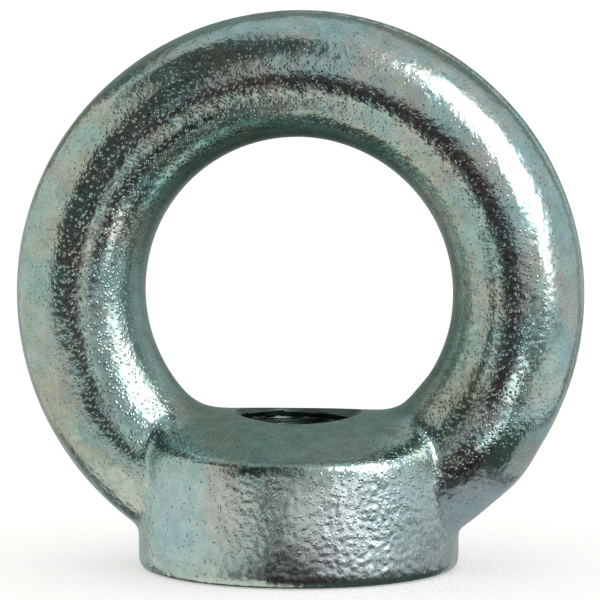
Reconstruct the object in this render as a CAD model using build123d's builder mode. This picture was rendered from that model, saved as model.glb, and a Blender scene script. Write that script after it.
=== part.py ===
"""Lifting eye nut, M12: a drop-forged ring on a round boss that is bored for the thread.

Millimetres. The origin is the centre of the boss's underside, +Z runs up the thread axis
and the ring stands in the XZ plane, so a shackle or hook passes through the eye along Y.
"""

from build123d import *

from math import cos, radians, sin, sqrt, tan
import os

# Thread
thread_diameter = 12.0  # M12
thread_pitch = 1.75  # coarse pitch
sink_angle = 90.0  # included angle of both countersinks
saddle_sink_growth = 1.95  # how far the upper countersink opens the tapping hole, on diameter
seat_sink_growth = 2.55  # the same at the underside, where it is wider than the thread

# Ring
overall_height = 53.0  # underside to the crest of the ring
ring_diameter = 54.0  # across the outside of the ring
eye_diameter = 29.4  # clear opening
eye_rise = 0.4  # the eye sits this much above the ring's own centre, so the crest is thinnest
ring_stations = 5  # round sections that carry the half ring from crest to foot

# Boss
boss_diameter = 30.5  # round foot that seats on the lifted part
saddle_fill = 3.2  # how far the saddle closes the bottom of the eye
saddle_drop = 3.3  # fall from the top of the saddle to the rim of the boss
saddle_pinch = 1.6  # how far the saddle's top draws in from the rim, below each leg
saddle_steps = (0.69, 0.40, 0.16)  # half-widths of the saddle's levels, as shares of the rim's
rim_fillet = 1.1  # rounding of the rim, where the saddle meets the wall

# Forged and machined edges
root_fillet = 1.5  # where the legs run into the boss
seat_fillet = 1.3  # lower edge of the boss

# Trimmed flash
flash_width = 1.3  # thickness of the land along the parting line
flash_height = 0.2  # the most it stands out of the ring
flash_bearing = 48.0  # degrees from the crest towards +X where it stands out the most
flash_reach = 75.0  # degrees to either side of that bearing before it dies into the ring

cutter_overrun = 2.0  # how far the boring tool runs past the faces it opens
facing_allowance = 2.0  # metal forged below the ring, which facing takes off down to the seat

ring_radius = ring_diameter / 2
eye_radius = eye_diameter / 2
boss_radius = boss_diameter / 2
ring_centre = overall_height - ring_radius
eye_centre = ring_centre + eye_rise
path_radius = (ring_radius + eye_radius) / 2
path_centre = (ring_centre + eye_centre) / 2
saddle_height = eye_centre - eye_radius + saddle_fill
rim_height = saddle_height - saddle_drop
forged_bottom = ring_centre - ring_radius - facing_allowance
saddle_arc = (boss_radius**2 + saddle_drop**2) / (2 * saddle_drop)
tap_radius = (thread_diameter - thread_pitch) / 2
saddle_sink_radius = tap_radius + saddle_sink_growth / 2
seat_sink_radius = tap_radius + seat_sink_growth / 2
sink_slope = 1 / tan(radians(sink_angle / 2))


def section_radius(bearing):
    """Radius of the ring's round section, at a bearing in degrees from the crest."""
    return (ring_radius - eye_radius - eye_rise * cos(radians(bearing))) / 2


def saddle_level(half_width):
    """Height of the saddle's arched back at a distance from the ring's plane."""
    return saddle_height - saddle_arc + sqrt(saddle_arc**2 - half_width**2)


# Boss: a round wall up to its rim, which closes in from there to a saddle between the legs. The
# rim is a flat circle, and the levels above it narrow across the ring but keep their length
# under the legs. The rim is rounded before the ring joins it. The boss is forged deep enough to
# hold the whole foot of the ring, as the seat is faced off later.
with BuildPart() as boss:
    with BuildSketch(Plane.XY.offset(forged_bottom)):
        Circle(boss_radius)
    extrude(amount=rim_height - forged_bottom)
    with BuildSketch(Plane.XY.offset(rim_height)):
        Circle(boss_radius)
    for share in saddle_steps:
        half_width = boss_radius * share
        with BuildSketch(Plane.XY.offset(saddle_level(half_width))):
            Ellipse(boss_radius - saddle_pinch * (1 - share), half_width)
    loft()
    rim_edge = boss.edges().filter_by(
        lambda edge: abs(edge.center().Z - rim_height) < rim_fillet / 2
    )
    fillet(rim_edge, rim_fillet)

# Ring: half of it is swept from the crest to the foot through round sections that thicken
# towards the foot, and the other half mirrors it.
with BuildPart() as ring:
    with BuildLine(Plane.XZ) as ring_path:
        CenterArc((0, path_centre), path_radius, 90, -180)
    for station in range(ring_stations):
        along = station / (ring_stations - 1)
        with BuildSketch(Plane(origin=ring_path.line @ along, z_dir=ring_path.line % along)):
            Circle(section_radius(180 * along))
    sweep(multisection=True)
    mirror(about=Plane.YZ)

# Flash: the trim die sits slightly off the ring's centre, so the land it leaves along the
# parting line stands out on one side and dies into the ring to either side of it.
trim_offset = flash_height / (1 - cos(radians(flash_reach)))
trim_radius = ring_radius - trim_offset * cos(radians(flash_reach))
trim_centre = (
    trim_offset * sin(radians(flash_bearing)),
    ring_centre + trim_offset * cos(radians(flash_bearing)),
)
with BuildPart() as flash:
    with BuildSketch(Plane.XZ):
        with Locations(trim_centre):
            Circle(trim_radius)
            Circle(trim_radius - (ring_radius - eye_radius) / 2, mode=Mode.SUBTRACT)
    extrude(amount=flash_width / 2, both=True)

# Bore: one cutter for the tapping hole and the countersinks at both of its ends.
with BuildPart() as bore_cutter:
    with BuildSketch(Plane.XZ):
        with BuildLine():
            Polyline(
                (0, -cutter_overrun),
                (seat_sink_radius, -cutter_overrun),
                (seat_sink_radius, 0),
                (tap_radius, (seat_sink_radius - tap_radius) * sink_slope),
                (tap_radius, saddle_height - (saddle_sink_radius - tap_radius) * sink_slope),
                (saddle_sink_radius, saddle_height),
                (saddle_sink_radius, saddle_height + cutter_overrun),
                (0, saddle_height + cutter_overrun),
                close=True,
            )
        make_face()
    revolve(axis=Axis.Z)

# Nut: the forging is joined, its creases are rounded and its flash is left on, and then the
# underside is faced off square to the thread, rounded at its edge and bored.
with BuildPart() as eye_nut:
    add(boss.part)
    add(ring.part)
    leg_creases = eye_nut.edges().filter_by(
        lambda edge: abs(edge.center().X) > tap_radius and abs(edge.center().Y) > root_fillet
    )
    fillet(leg_creases, root_fillet)
    add(flash.part)
    split(bisect_by=Plane.XY, keep=Keep.TOP)
    seat_edges = eye_nut.faces().sort_by(Axis.Z)[0].edges().sort_by(SortBy.LENGTH)
    fillet(seat_edges[-1], seat_fillet)
    add(bore_cutter.part, mode=Mode.SUBTRACT)

os.makedirs("parts", exist_ok=True)
eye_nut.part.label = "eye_nut"
export_step(eye_nut.part, "parts/eye_nut.step")
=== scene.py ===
import math
import bpy
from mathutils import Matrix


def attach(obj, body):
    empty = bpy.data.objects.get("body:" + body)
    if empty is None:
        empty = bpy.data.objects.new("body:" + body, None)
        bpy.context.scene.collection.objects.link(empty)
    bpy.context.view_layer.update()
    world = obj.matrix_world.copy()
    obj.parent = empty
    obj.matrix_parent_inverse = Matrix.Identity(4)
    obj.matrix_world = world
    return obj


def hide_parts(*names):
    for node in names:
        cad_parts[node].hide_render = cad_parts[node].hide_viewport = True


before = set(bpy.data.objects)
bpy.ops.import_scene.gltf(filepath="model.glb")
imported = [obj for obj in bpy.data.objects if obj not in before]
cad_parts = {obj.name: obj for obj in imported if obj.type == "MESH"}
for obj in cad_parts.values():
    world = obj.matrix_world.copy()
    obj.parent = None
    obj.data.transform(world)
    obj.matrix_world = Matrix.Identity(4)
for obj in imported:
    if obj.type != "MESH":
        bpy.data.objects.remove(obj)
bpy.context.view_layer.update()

mm = 0.001


def linear(hexColour):
    # sRGB hex to the linear values that Blender's sockets hold
    parts = [int(hexColour[i:i + 2], 16) / 255 for i in (1, 3, 5)]
    return [p / 12.92 if p <= 0.04045 else ((p + 0.055) / 1.055) ** 2.4 for p in parts] + [1.0]


def addNode(tree, kind, settings=None, links=None):
    # one node with its settings; a link is a socket, anything else is the input's own value
    node = tree.nodes.new(kind)
    for name, value in (settings or {}).items():
        setattr(node, name, value)
    for name, value in (links or {}).items():
        if isinstance(value, bpy.types.NodeSocket):
            tree.links.new(value, node.inputs[name])
        else:
            node.inputs[name].default_value = value
    return node


def addSteps(tree, known, steps):
    # sums worked out line by line: the result's name, what is done and what it is done to;
    # a smooth step takes a value, where it starts and ends, and the results at those two
    for result, operation, *terms in steps:
        values = {i: known.get(term, term) for i, term in enumerate(terms)}
        if operation == "SMOOTHSTEP":
            node = addNode(tree, "ShaderNodeMapRange", {"interpolation_type": operation}, values)
        else:
            node = addNode(tree, "ShaderNodeMath", {"operation": operation}, values)
        known[result] = node.outputs[0]


def treeInputs(tree, sizes):
    # named inputs for a Geometry Nodes tree, and where each is read inside it
    tree.interface.new_socket("Geometry", in_out="INPUT", socket_type="NodeSocketGeometry")
    tree.interface.new_socket("Geometry", in_out="OUTPUT", socket_type="NodeSocketGeometry")
    for name in sizes:
        tree.interface.new_socket(name, in_out="INPUT", socket_type="NodeSocketFloat")
    source = tree.nodes.new("NodeGroupInput")
    return {name: source.outputs[name] for name in sizes}


def growMesh(name, tree, sizes, material):
    # run the tree on an empty mesh and keep what it makes as a plain mesh
    seedObject = bpy.data.objects.new(name + "Tree", bpy.data.meshes.new(name + "Tree"))
    bpy.context.scene.collection.objects.link(seedObject)
    modifier = seedObject.modifiers.new(name, "NODES")
    modifier.node_group = tree
    for item in tree.interface.items_tree:
        if item.in_out == "INPUT" and item.name in sizes:
            modifier[item.identifier] = float(sizes[item.name])
    evaluated = seedObject.evaluated_get(bpy.context.evaluated_depsgraph_get())
    mesh = bpy.data.meshes.new_from_object(evaluated)
    mesh.name = name
    bpy.data.objects.remove(seedObject)
    grown = bpy.data.objects.new(name, mesh)
    bpy.context.scene.collection.objects.link(grown)
    if not mesh.materials:
        mesh.materials.append(material)
    return grown


def finishTree(tree, geometry, material):
    # millimetres to metres, then real geometry with its material
    scaled = addNode(tree, "GeometryNodeTransform", None,
                     {"Geometry": geometry, "Scale": (mm, mm, mm)})
    real = addNode(tree, "GeometryNodeRealizeInstances", None, {"Geometry": scaled.outputs[0]})
    painted = addNode(tree, "GeometryNodeSetMaterial", None,
                      {"Geometry": real.outputs[0], "Material": material})
    addNode(tree, "NodeGroupOutput", None, {"Geometry": painted.outputs[0]})


zinc = {
    "cool": "#a4bdba", "warm": "#b5b6ac",       # the plating's own tint drifts between these
    "driftFrom": 0.36, "driftTo": 0.66,
    "boss": "#c8d5d5", "bossBrighteningShare": 0.6,        # painted brightening: paler on the boss's wall, for its brighter reflections
    "paintedShade": "#6d897d", "paintedShadeShare": 0.5,    # painted shade: darker, greener inside the eye and on the saddle
    "fleck": "#54483e", "fleckFrom": 0.70, "fleckGain": 8.0, "fleckMost": 0.7,
    "specksShare": 0.36, "cloudsShare": 0.36,
    # roughness of the shine, and what its specks, the boss and the shaded zones add to it
    "roughness": 0.19, "speckRoughness": 0.14, "bossRoughness": 0.07, "shadedRoughness": 0.4,
    # each pattern's size in mm, and how much finer detail it holds
    "patterns": {
        "patches": (5.0, 4.0), "clouds": (1.5, 2.0), "specks": (0.25, 1.0),
        "flecks": (0.24, 0.0), "ragged": (0.7, 2.0), "peel": (1.8, 0.0), "pits": (0.6, 0.0),
    },
    # round beads of zinc over the blasted skin: width and height in mm, their own slope from
    # top to foot, the smallest one's share of the height and how much more the rest may have
    "bead": 0.34, "beadHeight": 0.039, "beadTop": 0.05, "beadFoot": 0.5,
    "beadLeast": 0.25, "beadSpread": 1.0,
    # wider pits and peel of the forged skin, mm, and the ring's share of the boss's pits
    "pitDepth": 0.070, "peelDepth": 0.045, "ringPits": 0.5,
    # heights where the boss's wall ends and the saddle begins, and the eye's middle and edge, mm
    "wallFrom": 9.0, "wallTo": 11.5, "saddleFrom": 10.9, "saddleTo": 12.2,
    "eyeHeight": 26.4, "eyeEdge": 14.9, "eyeReach": 17.0,
    # where the beads are worn down, mm, and how much of them is left there
    "rubbedFrom": 10.0, "rubbedTo": 30.0, "rubbedShare": 0.45,
    "outerFrom": 22.0, "outerTo": 25.0, "outerShare": 0.45,
    # and how much of them the boss's wall and the shaded zones take away
    "wallCalm": 0.45, "shadedCalm": 1.7,
    # painted spots of light and shade: middle (x, y, z) and half widths in mm, the colour that
    # shows there and its share
    "paintedLightSpots": [
        ((1.0, -15.2, 1.4), (3.6, 3.0, 1.3), "#26322f", 0.5),       # painted shade, a dark reflection low on the boss's front wall
        # painted shade, a dark reflection under the rim at the front
        ((-0.9, -15.1, 11.1), (4.6, 3.0, 0.5), "#26322f", 0.7),
        ((-5.4, -14.0, 7.4), (3.0, 3.0, 4.0), "#cdc2ba", 0.55),     # painted warm reflection on the boss's front wall
        ((-10.8, -10.6, 6.0), (4.5, 4.5, 5.0), "#a6c6d4", 0.6),     # painted pale, bluer reflection on the boss's front left
        ((3.8, -14.8, 5.6), (5.2, 3.0, 4.8), "#f2f7f7", 0.9),       # painted highlight in the middle of the boss's front wall
        ((15.5, 0.0, 20.0), (2.8, 7.0, 11.0), "#5f7a6e", 0.6),      # painted shade, green, inside the right leg
        ((13.4, -7.2, 11.4), (1.6, 1.6, 2.0), "#5d6a66", 0.5),      # painted shade between rim and leg, dimming a highlight
        ((-17.0, -4.0, 18.0), (5.0, 6.0, 10.0), "#7f938f", 0.52),   # painted shade inside the left leg, dimming its highlight
    ],
    "spotRagged": 1.6, "spotFrom": 1.2, "spotTo": 2.1,      # how ragged, and where a spot fades
}


def blastedZinc():
    # electroplated zinc on shot-blasted forged steel: bright metal whose shine the beads and
    # pits of the blasted skin break up into points
    material = bpy.data.materials.new("electroplatedZincOnBlastedForging")
    material.use_nodes = True
    tree = material.node_tree
    shader = tree.nodes["Principled BSDF"]
    shader.inputs["Metallic"].default_value = 1.0
    where = addNode(tree, "ShaderNodeTexCoord").outputs["Object"]
    split = addNode(tree, "ShaderNodeSeparateXYZ", None, {"Vector": where})
    known = {"x": split.outputs[0], "z": split.outputs[2]}
    patterns = {}
    for name, (size, detail) in zinc["patterns"].items():
        patterns[name] = addNode(tree, "ShaderNodeTexNoise", None,
                                 {"Vector": where, "Scale": 1 / (size * mm), "Detail": detail})
        known[name] = patterns[name].outputs["Fac"]
    beads = addNode(tree, "ShaderNodeTexVoronoi", None,
                    {"Vector": where, "Scale": 1 / (zinc["bead"] * mm), "Randomness": 1.0})
    chance = addNode(tree, "ShaderNodeSeparateColor", None, {"Color": beads.outputs["Color"]})
    known.update(fromBead=beads.outputs["Distance"], chance=chance.outputs[0])
    addSteps(tree, known, [
        ("drift", "SMOOTHSTEP", "patches", zinc["driftFrom"], zinc["driftTo"]),
        # the boss's wall came out of the die rougher than the ring, and a painted brightening makes
        # it paler
        ("onBoss", "SMOOTHSTEP", "z", zinc["wallFrom"] * mm, zinc["wallTo"] * mm, 1.0, 0.0),
        ("bossPaintedBrightening", "MULTIPLY", "onBoss", zinc["bossBrighteningShare"]),
        # painted shade darkens and greens the eye's inside and the saddle, whose shine is also
        # duller, as hands and hooks don't polish them
        ("up", "SUBTRACT", "z", zinc["eyeHeight"] * mm),
        ("upSquared", "MULTIPLY", "up", "up"),
        ("outSquared", "MULTIPLY_ADD", "x", "x", "upSquared"),
        ("out", "SQRT", "outSquared"),
        ("inEye", "SMOOTHSTEP", "out", zinc["eyeEdge"] * mm, zinc["eyeReach"] * mm,
         zinc["paintedShadeShare"], 0.0),
        ("overRim", "SMOOTHSTEP", "z", zinc["saddleFrom"] * mm, zinc["saddleTo"] * mm),
        ("paintedShadeAndDull", "MULTIPLY", "inEye", "overRim"),
        ("speckRough", "MULTIPLY_ADD", "specks", zinc["speckRoughness"],
         zinc["roughness"] - zinc["speckRoughness"] / 2),
        ("bossRough", "MULTIPLY_ADD", "onBoss", zinc["bossRoughness"], "speckRough"),
        ("rough", "MULTIPLY_ADD", "paintedShadeAndDull", zinc["shadedRoughness"], "bossRough"),
        # only the highest of the flecks show
        ("pastFleck", "SUBTRACT", "flecks", zinc["fleckFrom"]),
        ("fleckGained", "MULTIPLY", "pastFleck", zinc["fleckGain"]),
        ("fleckHeld", "MINIMUM", "fleckGained", zinc["fleckMost"]),
        ("fleckShare", "MAXIMUM", "fleckHeld", 0.0),
        # each bead has a height of its own, and there is plain skin between them
        ("bead", "SMOOTHSTEP", "fromBead", zinc["beadTop"], zinc["beadFoot"], 1.0, 0.0),
        ("beadGrowth", "MULTIPLY_ADD", "chance", zinc["beadSpread"], zinc["beadLeast"]),
        ("raised", "MULTIPLY", "bead", "beadGrowth"),
        # the ring is rubbed smoother over its shoulder on the +X side
        ("shoulder", "ADD", "x", "up"),
        ("rubbed", "SMOOTHSTEP", "shoulder", zinc["rubbedFrom"] * mm, zinc["rubbedTo"] * mm,
         1.0, zinc["rubbedShare"]),
        # and all round its outside, where it rolls and knocks about
        ("outer", "SMOOTHSTEP", "out", zinc["outerFrom"] * mm, zinc["outerTo"] * mm,
         1.0, zinc["outerShare"]),
        ("dulled", "MULTIPLY_ADD", "paintedShadeAndDull", -zinc["shadedCalm"], 1.0),
        ("softened", "MULTIPLY", "raised", "dulled"),
        ("wallCalm", "MULTIPLY_ADD", "onBoss", -zinc["wallCalm"], 1.0),
        ("calmed", "MULTIPLY", "softened", "wallCalm"),
        ("evened", "MULTIPLY", "calmed", "outer"),
        ("beading", "MULTIPLY", "evened", "rubbed"),
        ("pitting", "MULTIPLY_ADD", "onBoss", 1 - zinc["ringPits"], zinc["ringPits"]),
    ])
    skin = addNode(tree, "ShaderNodeMix", {"data_type": "RGBA"},
                   {0: known["drift"], 6: linear(zinc["cool"]), 7: linear(zinc["warm"])}).outputs[2]
    layers = [
        # how much of the layer shows, its colour and how it lies over the ones before
        (zinc["specksShare"], patterns["specks"].outputs["Color"], "OVERLAY"),
        # painted brightening of the boss's wall
        (known["bossPaintedBrightening"], linear(zinc["boss"]), "MIX"),
        # painted shade inside the eye and on the saddle
        (known["paintedShadeAndDull"], linear(zinc["paintedShade"]), "MIX"),
    ]
    # painted spots of light and shade, each laid over the colour before it
    for middle, halfWidths, tone, share in zinc["paintedLightSpots"]:
        gap = addNode(tree, "ShaderNodeVectorMath", {"operation": "SUBTRACT"},
                      {0: where, 1: [m * mm for m in middle]})
        sized = addNode(tree, "ShaderNodeVectorMath", {"operation": "MULTIPLY"},
                        {0: gap.outputs[0], 1: [1 / (h * mm) for h in halfWidths]})
        away = addNode(tree, "ShaderNodeVectorMath", {"operation": "LENGTH"},
                       {0: sized.outputs[0]})
        known["away"] = away.outputs["Value"]
        addSteps(tree, known, [
            ("edge", "MULTIPLY_ADD", "ragged", zinc["spotRagged"], "away"),
            ("paintedSpot", "SMOOTHSTEP", "edge", zinc["spotFrom"], zinc["spotTo"], share, 0.0),
        ])
        layers.append((known["paintedSpot"], linear(tone), "MIX"))
    layers.append((zinc["cloudsShare"], known["clouds"], "OVERLAY"))
    layers.append((known["fleckShare"], linear(zinc["fleck"]), "MIX"))
    for share, tone, blend in layers:
        skin = addNode(tree, "ShaderNodeMix", {"data_type": "RGBA", "blend_type": blend},
                       {0: share, 6: skin, 7: tone}).outputs[2]
    peeled = addNode(tree, "ShaderNodeBump", None,
                     {"Height": known["peel"], "Distance": zinc["peelDepth"] * mm,
                      "Strength": 1.0})
    pitted = addNode(tree, "ShaderNodeBump", None,
                     {"Height": known["pits"], "Distance": zinc["pitDepth"] * mm,
                      "Strength": known["pitting"], "Normal": peeled.outputs[0]})
    beaded = addNode(tree, "ShaderNodeBump", None,
                     {"Height": known["beading"], "Distance": zinc["beadHeight"] * mm,
                      "Strength": 1.0, "Normal": pitted.outputs[0]})
    tree.links.new(skin, shader.inputs["Base Color"])
    tree.links.new(known["rough"], shader.inputs["Roughness"])
    tree.links.new(beaded.outputs[0], shader.inputs["Normal"])
    return material


turned = {
    # the plain tone, and painted shade in the thread
    "tone": "#a3b0aa", "deep": "#5a6660", "roughness": 0.28,
    "deepTo": 6.0, "toneFrom": 6.3,         # mm from the thread's axis
    "feed": 0.16, "feedDepth": 0.012,       # mm, the tool's rings
}


def turnedZinc():
    # zinc over cut steel: fine rings from the turning tool, and painted shade that darkens the
    # thread
    material = bpy.data.materials.new("electroplatedZincOnTurnedSteel")
    material.use_nodes = True
    tree = material.node_tree
    shader = tree.nodes["Principled BSDF"]
    shader.inputs["Metallic"].default_value = 1.0
    shader.inputs["Roughness"].default_value = turned["roughness"]
    where = addNode(tree, "ShaderNodeTexCoord").outputs["Object"]
    split = addNode(tree, "ShaderNodeSeparateXYZ", None, {"Vector": where})
    known = {"x": split.outputs[0], "y": split.outputs[1]}
    addSteps(tree, known, [
        ("acrossSquared", "MULTIPLY", "x", "x"),
        ("axisSquared", "MULTIPLY_ADD", "y", "y", "acrossSquared"),
        ("axis", "SQRT", "axisSquared"),
        ("feeds", "MULTIPLY", "axis", 2 * math.pi / (turned["feed"] * mm)),
        ("rings", "SINE", "feeds"),
        ("outside", "SMOOTHSTEP", "axis", turned["deepTo"] * mm, turned["toneFrom"] * mm),
    ])
    # painted shade in the thread, the plain tone further out
    tone = addNode(tree, "ShaderNodeMix", {"data_type": "RGBA"},
                   {0: known["outside"], 6: linear(turned["deep"]), 7: linear(turned["tone"])})
    marks = addNode(tree, "ShaderNodeBump", None,
                    {"Height": known["rings"], "Distance": turned["feedDepth"] * mm,
                     "Strength": 1.0})
    tree.links.new(tone.outputs[2], shader.inputs["Base Color"])
    tree.links.new(marks.outputs[0], shader.inputs["Normal"])
    return material


zincSkin = blastedZinc()
zincCut = turnedZinc()
print("materials made")

# the forging is ring, boss and the roots between them as one skin; all sizes in mm
forging = {
    "sizes": {
        "ringRadius": 27.0, "eyeRadius": 14.7, "eyeRise": 0.4, "height": 53.0,
        "bossRadius": 15.25, "saddleHeight": 14.9, "saddleDrop": 3.3,
        "saddleRoom": 4.0, "saddleReach": 1.4,      # limits that keep the saddle's arc real
        "wallRoot": 0.9, "saddleRoot": 2.4,         # how softly the legs run into each
        "rootChange": 0.22,                         # and how fast one turns into the other
        # the legs widen front to back on their way down
        "footWidening": 0.20, "footFrom": 17.0, "footTo": 11.0, "footSoftness": 0.6,
        "rimSoftness": 1.1, "seatSoftness": 1.6, "swellSoftness": 1.2, "dentSoftness": 0.3,
        "flashWidth": 1.3, "flashHeight": 0.2, "flashBearing": 48.0, "flashReach": 75.0,
        "flashSoftness": 0.1,
        "unevenness": 0.10, "unevenLength": 9.0,
        "skinLevel": 1.0,                           # density of the sampled metal at its skin
    },
    # middle (x, y, z), radius of the hollow's ball and how deep it sinks in
    "dents": [
        ((0.3, -15.25, 2.0), 7.0, 0.14),
        ((4.6, -14.6, 6.5), 9.0, 0.06),
        ((-13.9, -5.1, 46.4), 3.4, 0.12),
        ((21.4, -5.75, 16.2), 1.2, 0.07),
    ],
    # middle (x, y, z) and radius of a ball of extra metal
    "swells": [
        ((16.2, 0.0, 12.9), 6.25),
    ],
    "voxel": 0.33,                                  # between the skin's sample points
    "room": (56.0, 32.5, 56.0), "roomUnder": 1.0,   # the block that is sampled
    "sharpAngle": 38.0,                             # degrees
    "seatFlatness": 0.999, "seatBand": 0.05,        # what counts as the faced seat
}


def dentOutward(middle):
    # away from the thread axis on the boss, away from the ring's middle line on the ring
    sizes = forging["sizes"]
    x, y, z = middle
    if z < sizes["saddleHeight"]:
        line = (0.0, 0.0, z)
    else:
        up = z - (sizes["height"] - sizes["ringRadius"] + sizes["eyeRise"] / 2)
        path = (sizes["ringRadius"] + sizes["eyeRadius"]) / 2 / math.hypot(x, up)
        line = (x * path, 0.0, z - up + up * path)
    gap = [a - b for a, b in zip(middle, line)]
    length = math.hypot(*gap)
    return [g / length for g in gap]


def forgingTree():
    # the skin is where a distance to the metal, worked out at every sample point, is nothing
    tree = bpy.data.node_groups.new("forgedSkin", "GeometryNodeTree")
    known = treeInputs(tree, forging["sizes"])
    place = addNode(tree, "GeometryNodeInputPosition").outputs[0]
    split = addNode(tree, "ShaderNodeSeparateXYZ", None, {"Vector": place})
    known.update(x=split.outputs[0], y=split.outputs[1], z=split.outputs[2])
    addSteps(tree, known, [
        # ring: distance to a circle whose round section thickens towards the foot
        ("ringHeight", "SUBTRACT", "height", "ringRadius"),
        ("pathHeight", "MULTIPLY_ADD", "eyeRise", 0.5, "ringHeight"),
        ("bothRadii", "ADD", "ringRadius", "eyeRadius"),
        ("pathRadius", "MULTIPLY", "bothRadii", 0.5),
        ("wallRadii", "SUBTRACT", "ringRadius", "eyeRadius"),
        ("sideSection", "MULTIPLY", "wallRadii", 0.5),
        ("halfRise", "MULTIPLY", "eyeRise", -0.5),
        ("up", "SUBTRACT", "z", "pathHeight"),
        ("acrossSquared", "MULTIPLY", "x", "x"),
        ("outSquared", "MULTIPLY_ADD", "up", "up", "acrossSquared"),
        ("out", "SQRT", "outSquared"),
        ("crestward", "DIVIDE", "up", "out"),
        ("section", "MULTIPLY_ADD", "crestward", "halfRise", "sideSection"),
        ("fromPath", "SUBTRACT", "out", "pathRadius"),
        ("fromPathSquared", "MULTIPLY", "fromPath", "fromPath"),
        ("depthSquared", "MULTIPLY", "y", "y"),
        ("footDrop", "SUBTRACT", "footFrom", "z"),
        ("footLength", "SUBTRACT", "footFrom", "footTo"),
        ("footRatio", "DIVIDE", "footDrop", "footLength"),
        ("footClear", "MAXIMUM", "footRatio", 0.0),
        ("footShare", "SMOOTH_MIN", "footClear", 1.0, "footSoftness"),
        ("footWide", "MULTIPLY", "footShare", "footWidening"),
        ("footThin", "SUBTRACT", 1.0, "footWide"),
        ("tubeSquared", "MULTIPLY_ADD", "depthSquared", "footThin", "fromPathSquared"),
        ("tube", "SQRT", "tubeSquared"),
        ("ring", "SUBTRACT", "tube", "section"),
        # boss: round wall, closed by a saddle that falls away to both faces
        ("axisSquared", "ADD", "acrossSquared", "depthSquared"),
        ("axis", "SQRT", "axisSquared"),
        ("wall", "SUBTRACT", "axis", "bossRadius"),
        ("bossSquared", "MULTIPLY", "bossRadius", "bossRadius"),
        ("dropSquared", "MULTIPLY_ADD", "saddleDrop", "saddleDrop", "bossSquared"),
        ("twoDrops", "MULTIPLY", "saddleDrop", 2.0),
        ("saddleArc", "DIVIDE", "dropSquared", "twoDrops"),
        ("roomSquared", "SUBTRACT", "bossSquared", "acrossSquared"),
        ("roomHeld", "MAXIMUM", "roomSquared", "saddleRoom"),
        ("shareSquared", "DIVIDE", "depthSquared", "roomHeld"),
        ("share", "MINIMUM", "shareSquared", "saddleReach"),
        ("chordSquared", "MULTIPLY", "share", "bossSquared"),
        ("arcSquared", "MULTIPLY", "saddleArc", "saddleArc"),
        ("levelSquared", "SUBTRACT", "arcSquared", "chordSquared"),
        ("level", "SQRT", "levelSquared"),
        ("arcCentre", "SUBTRACT", "saddleHeight", "saddleArc"),
        ("saddle", "ADD", "level", "arcCentre"),
        ("overSaddle", "SUBTRACT", "z", "saddle"),
        ("boss", "SMOOTH_MAX", "wall", "overSaddle", "rimSoftness"),
        # the legs run out tightly on the wall and broadly on the saddle
        ("overWall", "SUBTRACT", "z", "saddleHeight"),
        ("overWallShare", "MULTIPLY_ADD", "overWall", "rootChange", 1.0),
        ("saddleShare", "MAXIMUM", "overWallShare", 0.0),
        ("saddleBlend", "MINIMUM", "saddleShare", 1.0),
        ("rootGrowth", "SUBTRACT", "saddleRoot", "wallRoot"),
        ("root", "MULTIPLY_ADD", "saddleBlend", "rootGrowth", "wallRoot"),
        ("forged", "SMOOTH_MIN", "ring", "boss", "root"),
        # flash: a land along the parting line, trimmed to a circle off the ring's own centre
        ("reach", "RADIANS", "flashReach"),
        ("reachCosine", "COSINE", "reach"),
        ("lean", "SUBTRACT", 1.0, "reachCosine"),
        ("trimOffset", "DIVIDE", "flashHeight", "lean"),
        ("trimShort", "MULTIPLY", "trimOffset", "reachCosine"),
        ("trimRadius", "SUBTRACT", "ringRadius", "trimShort"),
        ("flashTurn", "RADIANS", "flashBearing"),
        ("flashSine", "SINE", "flashTurn"),
        ("flashCosine", "COSINE", "flashTurn"),
        ("trimAcross", "MULTIPLY", "trimOffset", "flashSine"),
        ("trimHeight", "MULTIPLY_ADD", "trimOffset", "flashCosine", "ringHeight"),
        ("besideTrim", "SUBTRACT", "x", "trimAcross"),
        ("aboveTrim", "SUBTRACT", "z", "trimHeight"),
        ("aboveTrimSquared", "MULTIPLY", "aboveTrim", "aboveTrim"),
        ("fromTrimSquared", "MULTIPLY_ADD", "besideTrim", "besideTrim", "aboveTrimSquared"),
        ("fromTrim", "SQRT", "fromTrimSquared"),
        ("trimOut", "SUBTRACT", "fromTrim", "trimRadius"),
        ("trimInFull", "MULTIPLY", "trimOut", -1.0),
        ("trimIn", "SUBTRACT", "trimInFull", "sideSection"),
        ("besidePlane", "ABSOLUTE", "y"),
        ("landSide", "MULTIPLY_ADD", "flashWidth", -0.5, "besidePlane"),
        ("land", "SMOOTH_MAX", "trimOut", "landSide", "flashSoftness"),
        ("landRing", "MAXIMUM", "land", "trimIn"),
        ("joined", "SMOOTH_MIN", "forged", "landRing", "flashSoftness"),
        ("unevenScale", "DIVIDE", 1.0, "unevenLength"),
    ])
    # the die's own unevenness
    wander = addNode(tree, "ShaderNodeTexNoise", {"noise_dimensions": "3D"},
                     {"Vector": place, "Scale": known["unevenScale"], "Detail": 1.0})
    known["wander"] = wander.outputs[0]
    addSteps(tree, known, [
        ("wanderCentred", "SUBTRACT", "wander", 0.5),
        ("skin", "MULTIPLY_ADD", "wanderCentred", "unevenness", "joined"),
    ])
    for middle, radius in forging["swells"]:
        away = addNode(tree, "ShaderNodeVectorMath", {"operation": "DISTANCE"},
                       {0: place, 1: middle})
        known["away"] = away.outputs["Value"]
        addSteps(tree, known, [
            ("outOfBall", "SUBTRACT", "away", radius),
            ("skin", "SMOOTH_MIN", "skin", "outOfBall", "swellSoftness"),
        ])
    for middle, radius, depth in forging["dents"]:
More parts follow.
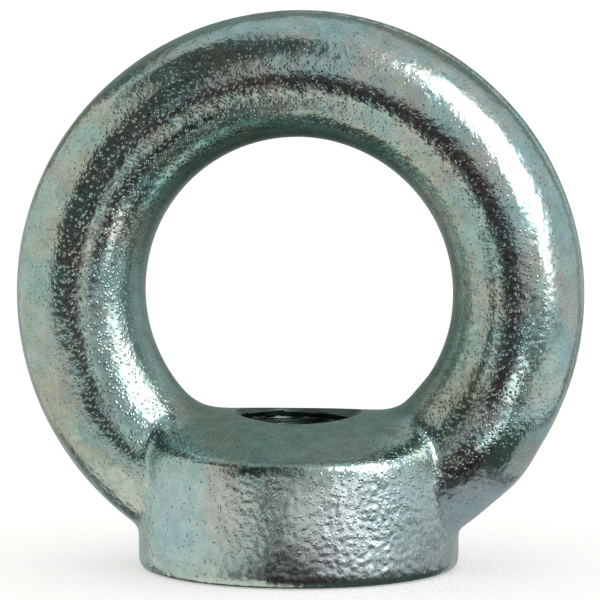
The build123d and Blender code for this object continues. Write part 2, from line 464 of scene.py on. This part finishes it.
        # a ball that stands off the skin along its own outward line and sinks in by the depth
        outward = dentOutward(middle)
        ballMiddle = [m + o * (radius - depth) for m, o in zip(middle, outward)]
        away = addNode(tree, "ShaderNodeVectorMath", {"operation": "DISTANCE"},
                       {0: place, 1: ballMiddle})
        known["away"] = away.outputs["Value"]
        addSteps(tree, known, [
            ("inBall", "SUBTRACT", radius, "away"),
            ("skin", "SMOOTH_MAX", "skin", "inBall", "dentSoftness"),
        ])
    # faced off flat at the seat, then sampled
    addSteps(tree, known, [
        ("underSeat", "MULTIPLY", "z", -1.0),
        ("faced", "SMOOTH_MAX", "skin", "underSeat", "seatSoftness"),
        ("depthInMetal", "SUBTRACT", "skinLevel", "faced"),
    ])
    room, voxel = forging["room"], forging["voxel"]
    low = (-room[0] / 2, -room[1] / 2, -forging["roomUnder"])
    block = addNode(tree, "GeometryNodeVolumeCube", None, {
        "Density": known["depthInMetal"], "Background": 0.0, "Min": low,
        "Max": tuple(a + b for a, b in zip(low, room)),
        "Resolution X": round(room[0] / voxel), "Resolution Y": round(room[1] / voxel),
        "Resolution Z": round(room[2] / voxel)})
    skin = addNode(tree, "GeometryNodeVolumeToMesh", None,
                   {"Volume": block.outputs[0], "Threshold": known["skinLevel"]})
    finishTree(tree, skin.outputs[0], zincSkin)
    return tree


nut = growMesh("eyeNut", forgingTree(), forging["sizes"], zincSkin)
nut.data.shade_smooth()
print("forging made", len(nut.data.polygons), "faces")

# the thread is cut by one tap-shaped cutter with the countersinks at both ends; sizes in mm
bore = {
    "sizes": {
        "major": 6.0, "minor": 5.125, "pitch": 1.75,
        "flankSlope": 2.7, "flankShift": -0.2,      # 60 degree flanks and the flats between them
        "seatSink": 6.4, "saddleSink": 6.1, "sinkSpare": 0.3, "saddle": 14.9,
    },
    "overrun": 2.0, "facets": 96, "rowsPerPitch": 14,
}


def boreTree():
    # a rod of radius 1, whose points move out to the thread or to a countersink
    sizes = bore["sizes"]
    tree = bpy.data.node_groups.new("threadCutter", "GeometryNodeTree")
    known = treeInputs(tree, sizes)
    length = sizes["saddle"] + 2 * bore["overrun"]
    rows = round(length / sizes["pitch"] * bore["rowsPerPitch"])
    rod = addNode(tree, "GeometryNodeMeshCylinder", {"fill_type": "NGON"}, {
        "Vertices": bore["facets"], "Side Segments": rows, "Fill Segments": 1,
        "Radius": 1.0, "Depth": length})
    place = addNode(tree, "GeometryNodeInputPosition").outputs[0]
    split = addNode(tree, "ShaderNodeSeparateXYZ", None, {"Vector": place})
    known.update(x=split.outputs[0], y=split.outputs[1], rise=split.outputs[2])
    addSteps(tree, known, [
        ("z", "MULTIPLY_ADD", "saddle", 0.5, "rise"),
        ("turn", "ARCTAN2", "y", "x"),
        ("turns", "DIVIDE", "turn", 2 * math.pi),
        ("threads", "DIVIDE", "z", "pitch"),
        ("phase", "SUBTRACT", "threads", "turns"),
        ("tooth", "PINGPONG", "phase", 0.5),
        ("flank", "MULTIPLY_ADD", "tooth", "flankSlope", "flankShift"),
        ("cut", "MINIMUM", "flank", 1.0),
        ("cutDepth", "MAXIMUM", "cut", 0.0),
        ("toothHeight", "SUBTRACT", "major", "minor"),
        ("threadRadius", "MULTIPLY_ADD", "cutDepth", "toothHeight", "minor"),
        ("seatCone", "SUBTRACT", "seatSink", "z"),
        ("saddleDepth", "SUBTRACT", "z", "saddle"),
        ("saddleCone", "ADD", "saddleSink", "saddleDepth"),
        ("cones", "MAXIMUM", "seatCone", "saddleCone"),
        ("conesMost", "ADD", "seatSink", "sinkSpare"),
        ("conesHeld", "MINIMUM", "cones", "conesMost"),
        ("radius", "MAXIMUM", "threadRadius", "conesHeld"),
        ("newX", "MULTIPLY", "x", "radius"),
        ("newY", "MULTIPLY", "y", "radius"),
    ])
    moved = addNode(tree, "ShaderNodeCombineXYZ", None,
                    {0: known["newX"], 1: known["newY"], 2: known["z"]})
    cutter = addNode(tree, "GeometryNodeSetPosition", None,
                     {"Geometry": rod.outputs["Mesh"], "Position": moved.outputs[0]})
    finishTree(tree, cutter.outputs[0], zincCut)
    return tree


cutter = growMesh("threadCutter", boreTree(), bore["sizes"], zincCut)
cut = nut.modifiers.new("bore", "BOOLEAN")
cut.operation = "DIFFERENCE"
cut.solver = "EXACT"
cut.material_mode = "TRANSFER"
cut.object = cutter
bored = bpy.data.meshes.new_from_object(nut.evaluated_get(bpy.context.evaluated_depsgraph_get()))
nut.modifiers.clear()
nut.data = bored
nut.data.name = "eyeNut"
bpy.data.objects.remove(cutter)
cutSlot = nut.data.materials.find(zincCut.name)
for face in nut.data.polygons:
    # the seat was turned too
    if face.normal.z < -forging["seatFlatness"] and face.center.z < forging["seatBand"] * mm:
        face.material_index = cutSlot
nut.data.set_sharp_from_angle(angle=math.radians(forging["sharpAngle"]))
print("bored", len(nut.data.polygons), "faces")

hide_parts("eye_nut")
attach(nut, "root")

# the studio is a white sweep, with soft boxes all round that only the metal's reflections show
studio = {
    "floor": "#bcbcba", "floorGlow": 0.85, "floorRoughness": 0.9, "floorReach": 3.0,    # m
    "room": "#ced8da", "backdropGlow": 1.25, "paperLeast": 0.05,
    # name, bearing and height of the middle, half widths, soft edge (degrees), colour, strength
    "softBoxes": [
        ("floorShade", 0, -62, 180, 42, 18, "#495651", 1.0),
        ("leftBackShade", -140, 4, 30, 36, 10, "#5a6761", 1.0),
        ("leftWall", -82, 6, 30, 36, 8, "#e2e7dc", 1.0),
        ("backShade", 180, 16, 30, 22, 16, "#84958e", 1.0),
        ("backFloor", 186, -12, 32, 12, 10, "#b9c2bd", 1.0),
        ("leftFloor", -62, -60, 54, 27, 10, "#e0dccd", 1.25),
        ("frontShade", -30, 16, 13, 22, 9, "#3d4643", 1.0),
        ("upperLeftShade", -48, 56, 44, 11, 10, "#44504c", 1.0),
        ("lensShade", -2, -8, 10, 11, 7, "#3a2a32", 1.0),
        ("lowShade", 10, -27, 24, 13, 7, "#24141a", 1.0),
        ("lensFoot", 18, -12, 12, 4, 6, "#444048", 1.0),
        ("keyFringe", 98, 28, 20, 30, 20, "#dae4e8", 1.0),
        ("keyTop", 60, 36, 14, 16, 12, "#ffffff", 5.5),
        ("keyFoot", 63, 12, 4, 11, 8, "#ffffff", 3.4),
    ],
    # name, one corner, the opposite one, both ends of the fade along X (m), colour, strength
    "papers": [
        ("leftPaper", (-0.03, -0.10, 0.0002), (0.000, -0.024, 0.0002),
         (0.000, -0.012), "#dbe4e0", 1.05),
        ("farLeftPaper", (-0.20, -0.10, 0.0002), (-0.03, -0.024, 0.0002),
         (-0.3, -0.25), "#dbe4e0", 1.0),
        ("rightPaper", (0.044, -0.036, 0.0002), (0.10, 0.03, 0.0002),
         (0.044, 0.052), "#e6f0f0", 1.05),
        ("sidePaper", (0.028, -0.004, 0.0002), (0.044, 0.030, 0.0002),
         (0.0, 0.01), "#e6f0f0", 0.6),
        ("footPaper", (0.030, -0.080, 0.0004), (0.056, -0.046, 0.0004),
         (0.030, 0.036), "#f0f6f6", 2.8),
        ("rightFoot", (0.017, -0.012, 0.0004), (0.028, 0.014, 0.0004),
         (0.028, 0.024), "#dce4ea", 0.6),
        ("leftCard", (-0.075, 0.0, -0.02), (-0.075, 0.05, 0.085),
         (-0.2, -0.1), "#dfe4da", 1.0),
        ("rightCard", (0.070, 0.0, -0.005), (0.070, 0.05, 0.09),
         (0.0, 0.06), "#dbe5ea", 0.95),
        ("frontCard", (-0.0155, -0.06, 0.007), (0.001, -0.06, 0.020),
         (0.001, -0.005), "#dfe4da", 1.4),
        ("upperCard", (-0.0155, -0.06, 0.020), (-0.0075, -0.06, 0.031),
         (-0.0075, -0.0095), "#dfe4da", 1.6),
        ("footCard", (-0.008, -0.032, 0.0006), (0.012, -0.032, 0.0095),
         (-0.008, 0.006), "#dbe4e0", 0.68),
    ],
}


def buildStudio():
    world = bpy.data.worlds.new("studio")
    bpy.context.scene.world = world
    world.use_nodes = True
    tree = world.node_tree
    tree.nodes.clear()
    direction = addNode(tree, "ShaderNodeTexCoord").outputs["Generated"]
    split = addNode(tree, "ShaderNodeSeparateXYZ", None, {"Vector": direction})
    known = {"x": split.outputs[0], "y": split.outputs[1], "z": split.outputs[2]}
    addSteps(tree, known, [
        ("front", "MULTIPLY", "y", -1.0),
        ("bearing", "ARCTAN2", "x", "front"),
        ("height", "ARCSINE", "z"),
    ])
    colour = addNode(tree, "ShaderNodeRGB")
    colour.outputs[0].default_value = linear(studio["room"])
    light = colour.outputs[0]
    for name, bearing, height, halfWidth, halfHeight, soft, tone, strength in studio["softBoxes"]:
        # a rectangle of sky with round corners, laid over the boxes before it
        addSteps(tree, known, [
            ("aside", "SUBTRACT", "bearing", math.radians(bearing)),
            ("asideTurned", "WRAP", "aside", math.pi, -math.pi),
            ("asideAway", "ABSOLUTE", "asideTurned"),
            ("above", "SUBTRACT", "height", math.radians(height)),
            ("aboveAway", "ABSOLUTE", "above"),
            ("pastSide", "SUBTRACT", "asideAway", math.radians(halfWidth)),
            ("pastTop", "SUBTRACT", "aboveAway", math.radians(halfHeight)),
            ("sideClear", "MAXIMUM", "pastSide", 0.0),
            ("topClear", "MAXIMUM", "pastTop", 0.0),
            ("topSquared", "MULTIPLY", "topClear", "topClear"),
            ("pastSquared", "MULTIPLY_ADD", "sideClear", "sideClear", "topSquared"),
            ("past", "SQRT", "pastSquared"),
            ("fade", "SMOOTHSTEP", "past", 0.0, math.radians(soft), 1.0, 0.0),
        ])
        tint = [c * strength for c in linear(tone)[:3]] + [1.0]
        box = addNode(tree, "ShaderNodeMix", {"data_type": "RGBA"},
                      {0: known["fade"], 6: light, 7: tint})
        box.label = name
        light = box.outputs[2]
    rays = addNode(tree, "ShaderNodeLightPath")
    reflected = addNode(tree, "ShaderNodeBackground", None, {"Color": light, "Strength": 1.0})
    seen = addNode(tree, "ShaderNodeBackground", None,
                   {"Color": (1, 1, 1, 1), "Strength": studio["backdropGlow"]})
    both = addNode(tree, "ShaderNodeMixShader", None,
                   {0: rays.outputs["Is Glossy Ray"], 1: seen.outputs[0], 2: reflected.outputs[0]})
    addNode(tree, "ShaderNodeOutputWorld", None, {"Surface": both.outputs[0]})


def buildFloor():
    reach = studio["floorReach"]
    mesh = bpy.data.meshes.new("floor")
    corners = [(-reach, -reach, 0), (reach, -reach, 0), (reach, reach, 0), (-reach, reach, 0)]
    mesh.from_pydata(corners, [], [(0, 1, 2, 3)])
    floor = bpy.data.objects.new("floor", mesh)
    bpy.context.scene.collection.objects.link(floor)
    # matt white paper that glows a little, so it stays pale right up to the nut
    material = bpy.data.materials.new("whitePaperSweep")
    material.use_nodes = True
    shader = material.node_tree.nodes["Principled BSDF"]
    shader.inputs["Base Color"].default_value = linear(studio["floor"])
    shader.inputs["Emission Color"].default_value = linear(studio["floor"])
    shader.inputs["Emission Strength"].default_value = studio["floorGlow"]
    shader.inputs["Roughness"].default_value = studio["floorRoughness"]
    shader.inputs["Specular IOR Level"].default_value = 0.0
    mesh.materials.append(material)
    floor.visible_glossy = False


def buildPaper(name, low, high, fadeEnds, tone, strength):
    # a glowing sheet lying or standing by the nut, which only the metal's reflections show,
    # standing in for lit paper
    if low[2] == high[2]:
        corners = [low, (high[0], low[1], low[2]), high, (low[0], high[1], low[2])]
    else:
        corners = [low, (high[0], high[1], low[2]), high, (low[0], low[1], high[2])]
    mesh = bpy.data.meshes.new(name)
    mesh.from_pydata(corners, [], [(0, 1, 2, 3)])
    paper = bpy.data.objects.new(name, mesh)
    bpy.context.scene.collection.objects.link(paper)
    material = bpy.data.materials.new(name + "Glowing")
    material.use_nodes = True
    tree = material.node_tree
    shader = tree.nodes["Principled BSDF"]
    shader.inputs["Base Color"].default_value = (0, 0, 0, 1)
    shader.inputs["Specular IOR Level"].default_value = 0.0
    shader.inputs["Emission Color"].default_value = linear(tone)
    where = addNode(tree, "ShaderNodeTexCoord").outputs["Object"]
    split = addNode(tree, "ShaderNodeSeparateXYZ", None, {"Vector": where})
    known = {"x": split.outputs[0]}
    addSteps(tree, known, [
        ("glow", "SMOOTHSTEP", "x", *fadeEnds, studio["paperLeast"], strength),
    ])
    tree.links.new(known["glow"], shader.inputs["Emission Strength"])
    mesh.materials.append(material)
    paper.visible_camera = False
    paper.visible_diffuse = False
    paper.visible_shadow = False


buildStudio()
buildFloor()
for paperRow in studio["papers"]:
    buildPaper(*paperRow)

# degrees for where it looks from, metres for how far and at what, millimetres for the lens
camera = {
    "bearing": 6.0, "elevation": 6.485, "distance": 0.650, "aim": (0.000108, 0.0, 0.02554),
    "lens": 410.61, "sensor": 36.0, "clipStart": 0.01,
}
bearing, elevation = math.radians(camera["bearing"]), math.radians(camera["elevation"])
away = (math.sin(bearing) * math.cos(elevation), -math.cos(bearing) * math.cos(elevation),
        math.sin(elevation))
eye = bpy.data.cameras.new("camera")
eye.sensor_width = camera["sensor"]
eye.lens = camera["lens"]
eye.clip_start = camera["clipStart"]
viewer = bpy.data.objects.new("camera", eye)
viewer.location = [a + camera["distance"] * b for a, b in zip(camera["aim"], away)]
viewer.rotation_euler = (math.pi / 2 - elevation, 0, bearing)
bpy.context.scene.collection.objects.link(viewer)
bpy.context.scene.camera = viewer
bpy.context.scene.view_settings.view_transform = "Standard"
bpy.context.scene.cycles.use_denoising = False
print("studio and camera made")
